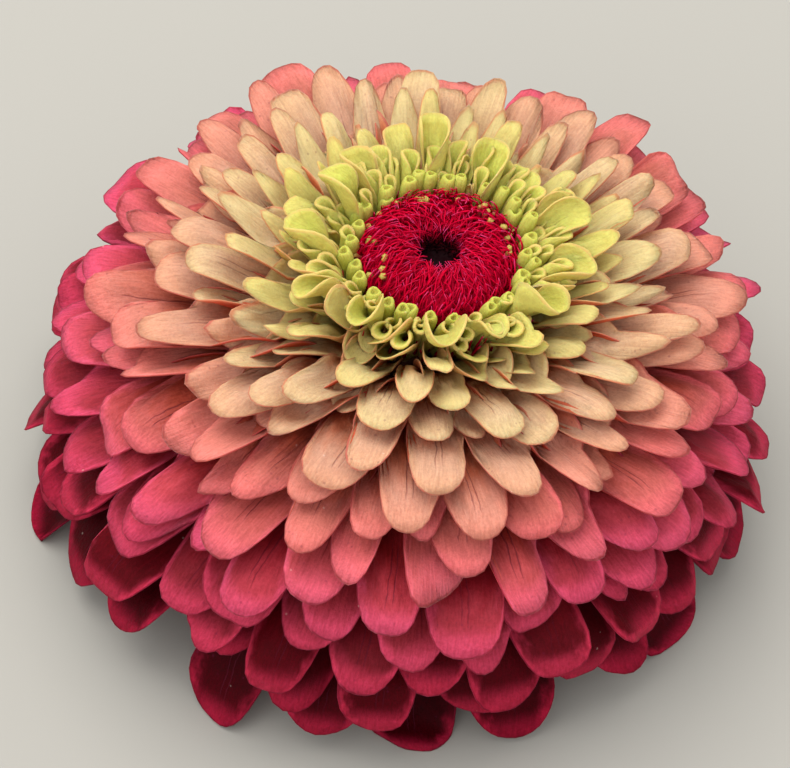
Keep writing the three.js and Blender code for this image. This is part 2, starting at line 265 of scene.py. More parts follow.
def split(quads, first=0):
    """Splits quads (..., 4) in two triangles each, along the diagonal from their corner of that number."""
    quads = np.roll(quads.reshape(-1, 4), -first, 1)
    return np.concatenate([quads[:, (0, 1, 2)], quads[:, (0, 2, 3)]])


def blade_faces(count, rows, columns):
    """Triangles of thin closed blades, whose points are count x rows x 2 columns, upper face first.

    The under face is split along the other diagonal of its quads, which lies right below the upper face's,
    so that the two faces of a waved blade can't cross.
    """
    ring = 2 * columns
    index = np.arange(count * rows * ring).reshape(count, rows, ring)
    turned = np.roll(index, -1, 2)
    skin = np.stack([index[:, :-1], index[:, 1:], turned[:, 1:], turned[:, :-1]], -1)
    upper, under = index[:, :, :columns], index[:, :, :columns - 1:-1]
    root = np.stack([upper[:, 0, :-1], upper[:, 0, 1:], under[:, 0, 1:], under[:, 0, :-1]], -1)
    tip = np.stack([upper[:, -1, :-1], under[:, -1, :-1], under[:, -1, 1:], upper[:, -1, 1:]], -1)
    upper_skin, under_skin = split(skin[:, :, :columns]), split(skin[:, :, columns:], 1)
    return np.concatenate([upper_skin, under_skin, split(root), split(tip)])


def both_faces(v):
    """Shares v across a blade's upper face and back across its under face, and the face as 1 or -1."""
    face = np.repeat((1.0, -1.0), len(v))
    return np.concatenate([v, v[::-1]])[None, None, :], face[None, None, :]


def blade_outline(lot, v, length, style):
    """Where blades end, as a share of their length, at share v of their half width.

    It is the rounded end 1 - tip (1 - (1 - |v|^p)^(1/p)), and some blades have a small notch in it.
    """
    power = 1.85 + 0.4 * lot(21)
    tip = np.clip(style["round"] * 0.5 * style["width"] / length, 0.05, 0.5)
    end = 1 - tip * (1 - (1 - np.abs(v) ** power).clip(0) ** (1 / power))
    notch = style["notch"] * smooth(lot(22), 0.55, 1.0) * np.exp(-((v - 0.3 * (lot(23) - 0.5)) / 0.2) ** 2)
    return end - notch / length


def blade_relief(lot, v, share, margin, style):
    """How far blades rise off their arc at a share of the length and at v across.

    Sine ripples grow with v^2 towards the margins, the tip droops with the square of its nearness, fine
    crumples are a product of two sines, and a lip rises as (1 - m / LIP_REACH)^2 at m from the margin.
    """
    ripple = np.sin(2 * np.pi * (style["waves"] * share + lot(24)) + 2.1 * np.sign(v) * lot(25))
    ripple = style["ripple"] * ripple * np.abs(v) ** 2 * smooth(share, 0.3, 0.8) * (0.4 + lot(26))
    droop = style["droop"] * (lot(27) - 0.25) * smooth(share, 0.62, 1.0) ** 2
    crumple = np.sin(9.0 * v + 6.0 * lot(28)) * np.sin(14.0 * share + 6.0 * lot(29))
    crumple = style["crumple"] * crumple * smooth(share, 0.3, 0.7)
    lip = style["lip"] * (1 - np.minimum(margin / LIP_REACH, 1)) ** 2 * smooth(share, 0.45, 0.8)
    return ripple - droop + crumple + lip


def rolled_blades(index, azimuth, handles, style, rows, columns, thickness):
    """Thin closed blades along centre lines, as points (n, rows, 2 columns, 3) and their attributes.

    A blade is 1.12 times as long as the straight distance from its root to its tip. Along it, its half
    width rises from a narrow claw to the full width at 0.72 of the length, wavering a little, and its rows
    end on its outline. Across, it is an arc that opens from the throat angle at the root to the mouth angle
    at the tip, and short of the tip it folds up more at one margin. With its relief on it, the arc is
    twisted and swayed by the square of the share along. The upper face lies half a thickness along the
    arc's normal and the under face half a thickness the other way, and both draw together towards the
    margins and the tip.
    """
    lot = lambda purpose: chance(index, purpose)[:, None, None]
    style = {key: np.broadcast_to(value, index.shape)[:, None, None] for key, value in style.items()}
    v, face = both_faces(np.sin(np.linspace(-1, 1, columns) * np.pi / 2))
    length = np.linalg.norm(handles[:, 3] - handles[:, 0], axis=-1)[:, None, None] * 1.12
    outline = blade_outline(lot, v, length, style)
    share = np.linspace(0, 1, rows)[None, :, None] ** 0.9 * outline
    half = 0.5 * style["width"] * (style["claw"] + (1 - style["claw"]) * smooth(share, 0, 0.72))
    half = half * (1 + style["waver"] * np.sin(7.5 * share + 6.3 * lot(31) + 1.6 * v))
    side, end = half * (1 - np.abs(v)), length * (outline - share)
    margin = 1.5 * side * end / (side + end + 1e-6)
    curl = style["throat"] + (style["mouth"] - style["throat"]) * share ** style["ease"]
    fold = style["fold"] * (2 * lot(32) - 1) * (1 - smooth(share, 0.55, 0.95))
    angle = v * curl / 2 * (1 + fold * v)
    bow = 2 * half / curl
    skin = face * 0.5 * thickness * (1 - 0.55 * np.abs(v) ** 3) * (1 - 0.45 * share ** 6)
    across = (bow - skin) * np.sin(angle)
    above = bow * (np.cos(curl / 4) - np.cos(angle)) + skin * np.cos(angle)
    above = above + blade_relief(lot, v, share, margin, style)
    turn = style["twist"] * share ** 2
    sideways = across * np.cos(turn) - above * np.sin(turn) + style["sway"] * share ** 2
    raised = across * np.sin(turn) + above * np.cos(turn)
    on, along = bezier(handles, share)
    radius = on[..., 0] - raised * along[..., 1]
    height = on[..., 1] + raised * along[..., 0]
    height = np.maximum(height, np.where(face > 0, thickness, 0.0))
    points = spin(radius, sideways, height, azimuth[:, None, None])
    attributes = {
        "depth": length * (1 - share), "across": v, "margin": margin, "under": 0.5 - 0.5 * face,
        "lot": lot(30), "girth": half, "age": style["age"],
    }
    return points, {key: np.broadcast_to(values, height.shape) for key, values in attributes.items()}


def press(points, columns):
    """Presses each petal in under the younger ones that cover it, so that no margin cuts through another.

    Seen from the head's core, the sky is divided in small cells. The rows are doubled with the points
    half way between them, so that a petal leaves no cell out. From the youngest petal to the oldest, each
    point sinks towards the core until it is 0.16 mm below the lowest of the undersides already in its cell
    or in the cells beside it, by 6 mm at most. The dips spread over the petal, each point taking at least
    a fifth of the sum of its own and its four neighbours' dips, five times over, and they fade out
    towards its root.
    """
    core, turns, rises = np.array((0, 0, 12.0)), 200, 70
    gap, deepest, rounds = 0.16, 6.0, 5
    offset = points - core
    offset = np.stack([offset, (offset + np.roll(offset, -1, 1)) / 2], 2)
    offset[:, -1, 1] = offset[:, -1, 0]
    offset = offset.reshape(len(points), -1, *points.shape[2:])
    reach = np.linalg.norm(offset, axis=-1)
    turn = (np.arctan2(offset[..., 1], offset[..., 0]) / (2 * np.pi) % 1 * turns).astype(int) % turns
    rise = np.arcsin(offset[..., 2] / reach) / (np.pi / 2)
    rise = ((rise + 0.4) / 1.4 * rises).astype(int).clip(1, rises - 2)
    roof = np.full((rises, turns), np.inf)
    fade = smooth(np.linspace(0, 1, offset.shape[1]), 0.05, 0.2)[:, None]
    for k in range(len(points) - 1, -1, -1):
        above = roof[rise[k, :, :columns], turn[k, :, :columns]]
        dip = (reach[k, :, :columns] + gap - above).clip(0, deepest) * fade
        for _ in range(rounds):
            padded = np.pad(dip, 1, mode="edge")
            near = padded[:-2, 1:-1] + padded[2:, 1:-1] + padded[1:-1, :-2] + padded[1:-1, 2:]
            dip = np.maximum(dip, 0.2 * dip + 0.2 * near)
        dip = np.concatenate([dip, dip[:, ::-1]], 1)
        points[k] -= (offset[k] * (dip / reach[k])[..., None])[::2]
        under = (reach[k] - dip)[:, columns:]
        for up in (-1, 0, 1):
            for aside in (-1, 0, 1):
                cell = (rise[k, :, columns:] + up, (turn[k, :, columns:] + aside) % turns)
                np.minimum.at(roof, cell, under)
    return points


def open_petals():
    """All the open ray petals: their index, azimuth, centre line and style.

    A petal of index i, from the outermost, has the age (i / last)^0.85 and stands at i golden angles. Its
    root and tip come from the stations at that age, and its tip is drawn 1.1 mm in or out and 1.2 mm up or
    down by chance. All petals together reach a little further at 190 degrees and less near 60 degrees.
    """
    size = sizes()
    radius, height = size.head_radius / MM, size.head_height / MM
    index = np.arange(size.petal_count)
    age = (index / (size.petal_count - 1)) ** 0.85
    azimuth = index * GOLDEN_ANGLE + np.radians(8) * (chance(index, 1) - 0.5)
    reach = 1 + 0.018 * np.cos(azimuth - np.radians(190))
    reach = reach - 0.06 * np.cos(azimuth - np.radians(60)).clip(0) ** 6
    # The lowest tips rest on the surface, so chance doesn't move them up or down.
    low_tip = np.minimum(1, 12 * age)
    tip = np.stack([
        at_age("tip_r", age) * radius * reach + 2.2 * (chance(index, 2) - 0.5),
        at_age("tip_z", age) * height + 2.4 * (chance(index, 3) - 0.5) * low_tip,
    ], -1)
    leave = np.radians(at_age("leave", age))
    surface = np.stack([at_age("root_r", age) * size.receptacle_radius / MM, at_age("root_z", age)], -1)
    root = surface - ROOT_DEPTH * np.stack([np.cos(leave), np.sin(leave)], -1)
    arrive = np.radians(at_age("arrive", age) + 28 * (chance(index, 4) - 0.5))
    handles = centre_handles(root, leave, tip, arrive)
    # Most petals twist a little and a few twist far, and about a quarter are cupped more than the rest.
    wild = np.sign(chance(index, 7) - 0.5) * np.abs(2 * chance(index, 7) - 1) ** 1.6
    cupping = 0.6 + 0.7 * chance(index, 6) + 0.6 * smooth(chance(index, 6), 0.75, 1)
    style = {
        "age": age, "width": at_age("width", age) * (0.8 + 0.38 * chance(index, 5)),
        "throat": at_age("throat", age) * cupping, "mouth": at_age("mouth", age) * cupping, "ease": 1.3,
        "round": 1.55, "notch": 0.25, "claw": 0.36, "waver": 0.06, "fold": 0.55,
        "waves": 1.6, "ripple": 0.34, "droop": 0.9, "crumple": 0.08,
        "lip": (0.25 + 0.75 * smooth(age, 0.12, 0.5)) * (1.8 * chance(index, 10) - 0.1),
        "twist": np.radians(20) * wild, "sway": 3.2 * (chance(index, 8) - 0.5),
    }
    return index, azimuth, handles, style


def rolled_petals():
    """Young petals still rolled in tubes with slanting mouths, in a loose belt round the disc.

    They go on with the golden angle inwards, from 13.3 to 9 mm off the axis, and get narrower and more
    upright on the way.
    """
    count = sizes().tube_count
    number = np.arange(count)
    index = sizes().petal_count + number
    inward = number / (count - 1)
    mix = lambda low, high: low + (high - low) * inward
    azimuth = index * GOLDEN_ANGLE + np.radians(9) * (chance(index, 1) - 0.5)
    tip = np.stack([
        mix(13.3, 9.0) + 1.2 * (chance(index, 2) - 0.5),
        mix(34.7, 34.1) + 1.4 * (chance(index, 3) - 0.5),
    ], -1)
    leave = np.radians(np.full(count, 74.0))
    surface = np.stack([mix(9.2, 8.2), np.full(count, 29.6)], -1)
    root = surface - ROOT_DEPTH * np.stack([np.cos(leave), np.sin(leave)], -1)
    arrive = np.radians(mix(26, 72) + 22 * (chance(index, 4) - 0.5))
    handles = centre_handles(root, leave, tip, arrive)
    style = {
        "age": 1 + 0.06 * inward, "width": mix(4.1, 2.8) * (0.85 + 0.3 * chance(index, 5)),
        "throat": 6.0 + 0.25 * chance(index, 6), "ease": 6.0,
        "mouth": mix(4.2, 5.9) - 1.4 * smooth(chance(index, 9), 0.7, 1),
        "round": 1.5, "notch": 0.4, "claw": 0.72, "waver": 0.05, "fold": 0.12,
        "waves": 1.0, "ripple": 0.1, "droop": 0.0, "crumple": 0.02, "lip": -0.15 * chance(index, 10),
        "twist": np.radians(70) * (chance(index, 7) - 0.5), "sway": 0.9 * (chance(index, 8) - 0.5),
    }
    return index, azimuth, handles, style


def closed_buds():
    """Petal buds beside the disc, rolled shut, as a part of dimpled clubs.

    A bud's radius swells from its foot to 0.7 of the length and rounds in to a lip, inside which the
    surface dips back down a little way. Three shallow folds twist along it.
    """
    count, ring = sizes().bud_count, 12
    steps = np.array([0, 0.25, 0.45, 0.62, 0.76, 0.87, 0.95, 0.99, 1.0, 0.97, 0.9])
    girths = np.array([0.7, 0.74, 0.84, 0.95, 1.0, 0.97, 0.86, 0.7, 0.52, 0.36, 0.12])
    number = np.arange(count)
    index = sizes().petal_count + sizes().tube_count + number
    inward = number / (count - 1)
    azimuth = (index * GOLDEN_ANGLE + np.radians(10) * (chance(index, 1) - 0.5))[:, None, None]
    tip_r = 9.0 - 1.1 * inward + 0.5 * (chance(index, 2) - 0.5)
    tip = np.stack([tip_r, 34.2 - 0.7 * inward + 1.5 * (chance(index, 3) - 0.5)], -1)
    leave = np.radians(np.full(count, 84.0))
    root = np.stack([8.3 - 0.6 * inward, np.full(count, 28.8)], -1)
    handles = centre_handles(root, leave, tip, np.radians(65 + 25 * inward))
    share = np.broadcast_to(steps[None, :, None], (count, len(steps), ring))
    angle = around(ring)[None, None, :]
    folds = 1 + 0.13 * np.cos(3 * angle + 3 * share + 9 * chance(index, 31)[:, None, None]) * share
    radius = (0.6 + 0.2 * chance(index, 5))[:, None, None] * girths[None, :, None] * folds
    on, along = bezier(handles, share)
    across, above = radius * np.cos(angle), radius * np.sin(angle)
    bud_radius, height = on[..., 0] - above * along[..., 1], on[..., 1] + above * along[..., 0]
    hollow = smooth(np.arange(len(steps)), 7, 10)[None, :, None]
    # Depth rises by 9 mm inside the dimple, so that the petal tint paints shade into the hollow as it does
    # towards the roots.
    attributes = attributes_over(
        share, depth=5.0 * (1 - share) + 9 * hollow, across=np.cos(3 * angle + 3 * share), margin=1.0,
        under=0.0, lot=chance(index, 30)[:, None, None], girth=0.8, age=1.08)
    points = lean(spin(bud_radius, across, height, azimuth))
    return points, tube_faces(count, len(steps), ring), attributes


def tube_faces(count, rows, ring):
    """Triangles of closed tubes whose points are count x rows x ring, with a fan over each end."""
    index = np.arange(count * rows * ring).reshape(count, rows, ring)
    turned = np.roll(index, -1, 2)
    skin = np.stack([index[:, :-1], turned[:, :-1], turned[:, 1:], index[:, 1:]], -1)
    hub = np.repeat(index[:, :, :1], ring - 2, 2)
    fan = np.stack([hub, index[:, :, 1:-1], index[:, :, 2:]], -1)
    return np.concatenate([split(skin), fan[:, 0, :, ::-1].reshape(-1, 3), fan[:, -1].reshape(-1, 3)])


def join(parts):
    """Joins parts into one, with the triangles' point numbers counted on from part to part."""
    start, points, faces, names = 0, [], [], parts[0][2].keys()
    for part_points, part_faces, _ in parts:
        points.append(part_points.reshape(-1, 3))
        faces.append(part_faces + start)
        start += len(points[-1])
    attributes = {name: np.concatenate([part[2][name] for part in parts]) for name in names}
    return np.concatenate(points), np.concatenate(faces), attributes


def turned_surface(profile, ring, **values):
    """A profile of (radius, height) turned about the leaning axis, with capped ends, as a part."""
    profile = np.asarray(profile, dtype=float)
    radius, height = (np.broadcast_to(profile[:, k, None], (len(profile), ring)) for k in (0, 1))
    points = lean(spin(radius, 0 * radius, height, around(ring)[None, :]))
    return points, tube_faces(1, len(profile), ring), attributes_over(radius, **values)


class Graph:
    """Adds nodes to a node tree and joins them, so that a material reads as a list of steps."""

    def __init__(self, tree):
        self.tree = tree

    def put(self, socket, value):
        if isinstance(value, bpy.types.NodeSocket):
            self.tree.links.new(value, socket)
        else:
            socket.default_value = value

    def node(self, kind, inputs=(), **settings):
        made = self.tree.nodes.new("ShaderNode" + kind)
        for key, value in settings.items():
            setattr(made, key, value)
        for key, value in dict(inputs).items():
            self.put(made.inputs[key], value)
        return made

    def maths(self, operation, first, second=None, third=None):
        inputs = {i: value for i, value in enumerate((first, second, third)) if value is not None}
        return self.node("Math", inputs, operation=operation).outputs[0]

    def step(self, value, low, high, to_low=0.0, to_high=1.0):
        inputs = {"Value": value, "From Min": low, "From Max": high, "To Min": to_low, "To Max": to_high}
        return self.node("MapRange", inputs, interpolation_type="SMOOTHSTEP").outputs[0]

    def mix(self, factor, first, second, blend="MIX"):
        made = self.node("Mix", data_type="RGBA", blend_type=blend)
        made.clamp_factor = True
        for socket, value in zip((made.inputs[0], made.inputs[6], made.inputs[7]), (factor, first, second)):
            self.put(socket, value)
        return made.outputs[2]

    def attribute(self, name):
        return self.node("Attribute", attribute_name=name).outputs["Fac"]

    def position(self):
        return self.node("TexCoord").outputs["Object"]

    def vector(self, x, y, z):
        return self.node("CombineXYZ", {0: x, 1: y, 2: z}).outputs[0]

    def noise(self, vector, scale, detail=2.0, roughness=0.5):
        inputs = {"Vector": vector, "Scale": scale, "Detail": detail, "Roughness": roughness}
        return self.node("TexNoise", inputs).outputs["Fac"]

    def ramp(self, value, stops):
        made = self.node("ValToRGB", {0: value})
        ramp = made.color_ramp
        while len(ramp.elements) < len(stops):
            ramp.elements.new(0.5)
        for element, (position, colour) in zip(ramp.elements, stops):
            element.position = position
            element.color = (*colour, 1)
        return made.outputs[0]


def group(name, inputs, outputs):
    """An empty shader node group with named inputs and outputs: (group, graph, inputs, output node)."""
    tree = bpy.data.node_groups.new(name, "ShaderNodeTree")
    for key, kind in inputs:
        tree.interface.new_socket(key, in_out="INPUT", socket_type=kind)
    for key, kind in outputs:
        tree.interface.new_socket(key, in_out="OUTPUT", socket_type=kind)
    given = tree.nodes.new("NodeGroupInput")
    return tree, Graph(tree), given.outputs, tree.nodes.new("NodeGroupOutput")


def material(name):
    made = bpy.data.materials.new(name)
    made.use_nodes = True
    return made, Graph(made.node_tree), made.node_tree.nodes["Principled BSDF"]


def aged_tones(g, age):
    """The colours of a petal's middle, its margin and its throat, each a ramp over the petals' ages. The
    throat colours are partly the petals' own darker bases and partly painted shade of the crevices under the
    petals that cover them.
    """
    c = colours()
    oldest = 1.1
    stages = (0.02, 0.2, 0.41, 0.54, 0.65, 0.785, 0.93, 1.06)
    # The oldest, lowest stages, wine and crimson, carry painted shade as well as their own deep red.
    middles = (c.wine, c.crimson, c.coral, c.salmon, c.peach, c.cream, c.lime, c.bud)
    margins = (c.wine_margin, c.crimson_margin, c.coral_margin, c.salmon_margin, c.peach_margin,
               c.cream_margin, c.lime_margin, c.bud_margin)
    throat_shades = (c.wine_throat_shade, c.crimson_throat_shade, c.peach_throat_shade, c.lime_throat_shade)
    share = g.maths("DIVIDE", age, oldest)
    places = [stage / oldest for stage in stages]
    middle, edge = g.ramp(share, list(zip(places, middles))), g.ramp(share, list(zip(places, margins)))
    return middle, edge, g.ramp(age, list(zip((0.05, 0.4, 0.66, 0.92), throat_shades)))


def vein_pair(g, across_mm, deep, mottle):
    """Mask of two veins that wander along a petal, 0.3 mm to either side of its middle."""
    wander = g.maths("MULTIPLY", g.maths("SUBTRACT", mottle, 0.5), 0.5)
    off_middle = g.maths("ABSOLUTE", g.maths("ADD", across_mm, wander))
    beside = g.maths("ABSOLUTE", g.maths("SUBTRACT", off_middle, 0.3))
    reach = g.maths("MULTIPLY", g.step(deep, 2.0, 4.2), g.step(deep, 9.6, 7.4))
    return g.maths("MULTIPLY", g.step(beside, 0.085, 0.02), reach)


def dots(g, scale, dot, patches, detail, chosen):
    """Mask of small round dots that show only in chosen patches of a noise."""
    cells = g.node("TexVoronoi", {"Vector": g.position(), "Scale": scale}, feature="F1")
    patch = g.step(g.noise(g.position(), patches, detail), *chosen)
    return g.maths("MULTIPLY", g.step(cells.outputs["Distance"], *dot), patch)


def petal_tint():
    """The petals' colours as a node group: tones by age, throat with painted shade, underside, fibres,
    veins, rim and specks.

    It reads a petal's attributes: depth is the distance from its tip and margin the one from its margin,
    both in millimetres, across runs from -1 to 1 over its width, girth is its half width, under is 1 on
    the underside, age runs from the outermost petal, 0, to the innermost open one, 1, and on to the buds,
    and lot is drawn once for each petal.
    """
    inputs = [("Fibre strength", "NodeSocketFloat"), ("Vein strength", "NodeSocketFloat")]
    outputs = [("Colour", "NodeSocketColor"), ("Height", "NodeSocketFloat"), ("Gloss", "NodeSocketFloat")]
    tree, g, given, result = group("Petal tint", inputs, outputs)
    depth, margin, lot = g.attribute("depth"), g.attribute("margin"), g.attribute("lot")
    across_mm = g.maths("MULTIPLY", g.attribute("across"), g.attribute("girth"))
    seed = g.maths("MULTIPLY", lot, 91.0)
    fibre = g.noise(g.vector(across_mm, g.maths("MULTIPLY", depth, 0.22), seed), 4.6, 3.0, 0.6)
    mottle = g.noise(g.vector(across_mm, g.maths("MULTIPLY", depth, 0.7), seed), 0.9, 2.0)
    grain = g.noise(g.position(), 3600.0, 2.0, 0.7)
    deep = g.maths("MULTIPLY_ADD", g.maths("SUBTRACT", mottle, 0.5), 3.5, depth)
    # The margin's colour comes in unevenly from the margins and the tip, and the throat's colour, partly
    # painted shade, from the root.
    age = g.maths("MULTIPLY_ADD", g.maths("SUBTRACT", lot, 0.5), 0.06, g.attribute("age"))
    middle, edge, throat = aged_tones(g, age)
    uneven = g.maths("MULTIPLY_ADD", mottle, 2.4, g.maths("SUBTRACT", margin, 1.2))
    fringe = g.maths("MAXIMUM", g.step(uneven, 1.7, -0.4), g.step(depth, 3.2, 0.2, 0.0, 0.8))
    tone = g.mix(fringe, middle, edge)
    # Painted shade: towards its root, where younger petals cover it, a petal darkens to its throat colour,
    # less so on the young innermost petals.
    young = g.step(g.attribute("age"), 0.78, 1.0, 0.85, 0.3)
    tone = g.mix(g.maths("MULTIPLY", g.step(deep, 2.8, 7.4), young), tone, throat)
    # The undersides of the middle bands are terracotta, those of the others like their margins.
    underside = g.mix(g.step(age, 0.3, 0.55), edge, (*colours().terracotta, 1))
    underside = g.mix(g.step(age, 0.8, 0.95), underside, edge)
    tone = g.mix(g.maths("MULTIPLY", g.attribute("under"), 0.85), tone, underside)
    # Fibres, veins, freckles and a rim darken that colour, and specks of dust lighten it.
    shade = g.maths("MULTIPLY_ADD", grain, 0.4, g.maths("MULTIPLY", fibre, 0.6))
    dim = g.ramp(g.step(shade, 0.3, 0.7), [(0.0, (0.5, 0.4, 0.38)), (1.0, (1.0, 1.0, 1.0))])
    tone = g.mix(given["Fibre strength"], tone, g.mix(1.0, tone, dim, "MULTIPLY"))
    shown = g.maths("MULTIPLY", g.step(lot, 0.05, 0.5), given["Vein strength"])
    vein = g.maths("MULTIPLY", vein_pair(g, across_mm, deep, mottle), shown)
    tone = g.mix(vein, tone, g.mix(0.7, tone, (0.09, 0.008, 0.02, 1)))
    freckle = g.maths("MULTIPLY", dots(g, 1300.0, (0.22, 0.1), 300.0, 1.0, (0.5, 0.66)), 0.4)
    tone = g.mix(freckle, tone, g.mix(0.75, tone, (0.12, 0.01, 0.04, 1)))
    rim_tone = g.ramp(age, [
        (0.0, (0.12, 0.003, 0.015)), (0.45, (0.28, 0.02, 0.04)), (0.7, (0.46, 0.11, 0.08)),
        (0.9, (0.56, 0.26, 0.11)), (1.0, (0.58, 0.42, 0.13))])
    rim = g.maths("MULTIPLY", g.step(margin, 0.2, 0.05), g.step(mottle, 0.3, 0.6, 0.4, 0.9))
    tone = g.mix(rim, tone, rim_tone)
    dust = g.maths("MULTIPLY", dots(g, 700.0, (0.1, 0.05), 420.0, 0.0, (0.66, 0.7)), 0.2)
    g.put(result.inputs["Colour"], g.mix(dust, tone, (0.85, 0.72, 0.62, 1)))
    rough = g.maths("MULTIPLY_ADD", grain, 0.5, g.maths("MULTIPLY", fibre, 0.7))
    g.put(result.inputs["Height"], g.maths("MULTIPLY_ADD", vein, -0.5, rough))
    g.put(result.inputs["Gloss"], g.step(fibre, 0.2, 0.8, 0.5, 0.66))
    return tree


def petal_material(name, fibre, vein, softness, gloss):
    """A papery petal: its tint, a fibrous relief and a little light let through."""
    tint = bpy.data.node_groups.get("Petal tint") or petal_tint()
    made, g, shader = material(name)
    look = g.node("Group", node_tree=tint)
    look.inputs["Fibre strength"].default_value = fibre
    look.inputs["Vein strength"].default_value = vein
    g.put(shader.inputs["Base Color"], look.outputs["Colour"])
    g.put(shader.inputs["Roughness"], look.outputs["Gloss"])
    bump = g.node("Bump", {"Height": look.outputs["Height"], "Strength": 0.65, "Distance": 0.0002})
    g.put(shader.inputs["Normal"], bump.outputs[0])
    shader.inputs["Specular IOR Level"].default_value = gloss
    shader.inputs["Subsurface Weight"].default_value = softness
    shader.inputs["Subsurface Radius"].default_value = (1.0, 0.42, 0.28)
    shader.inputs["Subsurface Scale"].default_value = 0.001
    return made


def chaff_material():
    """The disc's threads: crimson, pinkish at their ends, partly their own colour and partly painted
    highlight, and near black in the pit, which is painted shade.
    """
    made, g, shader = material("disc_chaff")
    c = colours()
    along, depth, lot = g.attribute("along"), g.attribute("depth"), g.attribute("lot")
    streak = g.noise(g.position(), 2600.0, 2.0)
    # Pinkish ends on some threads: partly their own colour and partly painted highlight.
    ends = g.maths("MULTIPLY", g.step(along, 0.7, 1.0), g.step(lot, 0.35, 0.95))
    tone = g.mix(ends, (*c.chaff, 1), (*c.chaff_tip_and_highlight, 1))
    tone = g.mix(g.step(streak, 0.35, 0.75, 0.0, 0.45), tone, (0.2, 0.0, 0.02, 1))
    tone = g.mix(g.maths("MULTIPLY", g.step(lot, 0.3, 0.0), 0.5), tone, (0.12, 0.0, 0.012, 1))
    # Painted shade: the deeper into the pit, the nearer to black.
    tone = g.mix(g.step(depth, 0.25, 0.95), tone, (*c.pit, 1))
    g.put(shader.inputs["Base Color"], tone)
    g.put(shader.inputs["Roughness"], g.step(streak, 0.3, 0.7, 0.5, 0.72))
    shader.inputs["Specular IOR Level"].default_value = 0.05
    return made


def floret_material():
    """Tiny disc florets: yellow-green buds flushed with red at their feet."""
    made, g, shader = material("disc_floret")
    along = g.attribute("along")
    streak = g.noise(g.position(), 1800.0, 2.0)
    tone = g.ramp(g.maths("ADD", along, g.maths("MULTIPLY", streak, 0.3)), [
        (0.0, (0.3, 0.01, 0.03)), (0.6, (0.34, 0.06, 0.03)),
        (0.95, (0.44, 0.26, 0.05)), (1.0, (0.5, 0.4, 0.08))])
    g.put(shader.inputs["Base Color"], tone)
    g.put(shader.inputs["Roughness"], g.step(streak, 0.3, 0.7, 0.45, 0.6))
    return made


def tissue_material(name, body, edge):
    """Plant tissue with fine fibres along it and a second colour over its margins or its cut end."""
    made, g, shader = material(name)
    margin, along, across = g.attribute("margin"), g.attribute("along"), g.attribute("across")
    across, along = g.maths("MULTIPLY", across, 14.0), g.maths("MULTIPLY", along, 2.0)
    fibre = g.noise(g.vector(across, along, g.attribute("lot")), 1.6, 3.0)
    blotch = g.noise(g.position(), 480.0, 2.0)
    tone = g.mix(g.step(fibre, 0.3, 0.7, 0.0, 0.35), (*body, 1), (*[0.45 * channel for channel in body], 1))
    tone = g.mix(g.step(blotch, 0.5, 0.8, 0.0, 0.3), tone, (0.34, 0.42, 0.12, 1))
    tone = g.mix(g.step(margin, 0.55, 0.1), tone, (*edge, 1))
    g.put(shader.inputs["Base Color"], tone)
    g.put(shader.inputs["Roughness"], g.step(blotch, 0.3, 0.7, 0.5, 0.68))
    bump = g.node("Bump", {"Height": fibre, "Strength": 0.4, "Distance": 0.0001})
    g.put(shader.inputs["Normal"], bump.outputs[0])
    shader.inputs["Specular IOR Level"].default_value = 0.35
    return made


class ZINNIA_OT_stage(bpy.types.Operator):
    """Sets the floor, the soft studio light and the camera"""

    bl_idname = "zinnia.stage"
    bl_label = "Stage"

    def execute(self, context):
        scene = context.scene
        half = 1.5
        corners = [(-half, -half, 0), (half, -half, 0), (half, half, 0), (-half, half, 0)]
        mesh = bpy.data.meshes.new("floor")
        mesh.from_pydata(corners, [], [(0, 1, 2, 3)])
        made, g, shader = material("floor")
        cloud = g.step(g.noise(g.position(), 6.0, 3.0), 0.3, 0.7, 0.0, 0.12)
        tone = g.mix(cloud, (*colours().floor, 1), (0.33, 0.32, 0.3, 1))
        g.put(shader.inputs["Base Color"], tone)
        shader.inputs["Roughness"].default_value = 0.85
        mesh.materials.append(made)
        floor = bpy.data.objects.new("floor", mesh)
        scene.collection.objects.link(floor)
        world = bpy.data.worlds.new("studio")
        world.use_nodes = True
        world.node_tree.nodes["Background"].inputs[0].default_value = (0.98, 0.985, 1.0, 1)
        world.node_tree.nodes["Background"].inputs[1].default_value = 1.04
        scene.world = world
        self.lamp(scene, "key", (-0.12, 0.13, 0.69), 0.7, 4.95, (1.0, 0.985, 0.96))
        self.lamp(scene, "fill", (-0.35, -0.42, 0.5), 0.6, 1.3, (0.96, 0.98, 1.0))
        self.camera(scene)
        scene.view_settings.view_transform = "Standard"
        return {"FINISHED"}

    def lamp(self, scene, name, place, side, power, tint):
        light = bpy.data.lights.new(name, "AREA")
        light.energy = power
        light.size = side
        light.color = tint
        lamp = bpy.data.objects.new(name, light)
        lamp.location = place
        lamp.rotation_mode = "QUATERNION"
        lamp.rotation_quaternion = (Vector((0, 0, 0.02)) - lamp.location).to_track_quat("-Z", "Y")
        scene.collection.objects.link(lamp)

    def camera(self, scene):
        """The camera stands 320 mm off, 51 degrees above the horizon, rolled 3.5 degrees about its view."""
        distance, elevation, roll, field, sensor = 0.32, math.radians(51), math.radians(3.5), 0.0756, 36.0
        target = Vector((-0.0003, 0, 0.0137))
        back = Vector((0, -math.cos(elevation), math.sin(elevation)))
        data = bpy.data.cameras.new("camera")
        data.sensor_width = sensor
        data.lens = sensor * distance / field
        camera = bpy.data.objects.new("camera", data)
        camera.location = target + back * distance
        camera.rotation_mode = "QUATERNION"
        camera.rotation_quaternion = (-back).to_track_quat("-Z", "Y") @ Quaternion((0, 0, 1), roll)
        scene.collection.objects.link(camera)
        scene.camera = camera


